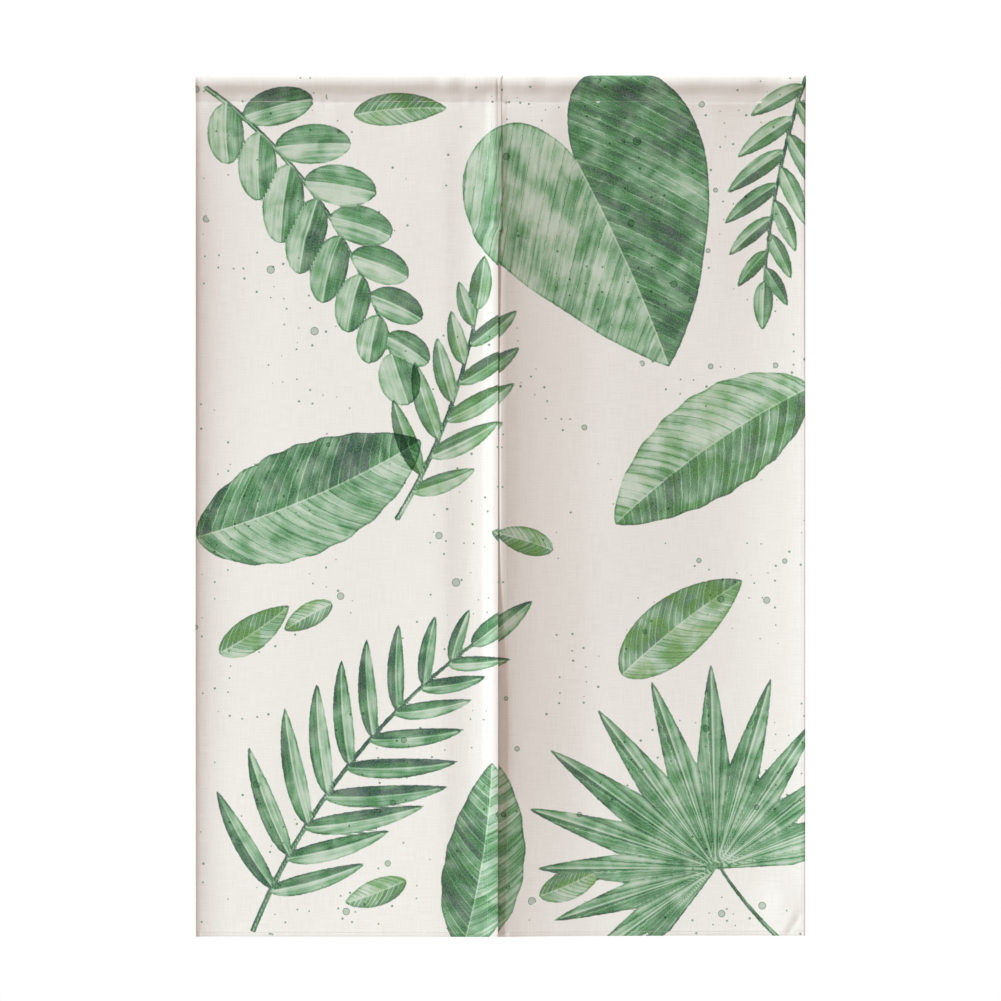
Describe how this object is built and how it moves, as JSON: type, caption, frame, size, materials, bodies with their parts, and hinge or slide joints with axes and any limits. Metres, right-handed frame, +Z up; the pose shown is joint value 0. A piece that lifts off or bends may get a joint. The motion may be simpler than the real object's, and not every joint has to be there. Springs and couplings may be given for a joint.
{
  "type": "noren curtain",
  "caption": "Split doorway curtain: hemmed cloth panels lapped and sewn together at the top, free below, hanging from an empty rod pocket.",
  "frame": {"origin": "the middle of the top fold of the rod pocket, on the rod's line", "axes": "+Z up along the drop, +X along the rod to the right as seen from the front, +Y to the back"},
  "size_m": [0.85, 0.0365, 1.2],
  "materials": {
    "printed_cloth": "off-white plain weave linen-look cloth with a printed green leaf pattern",
    "sewing_thread": "off-white sewing thread"
  },
  "bodies": {
    "root": {"pocket_left": "printed_cloth", "pocket_right": "printed_cloth", "panel_left": "printed_cloth", "panel_right": "printed_cloth"}
  },
  "joints": []
}
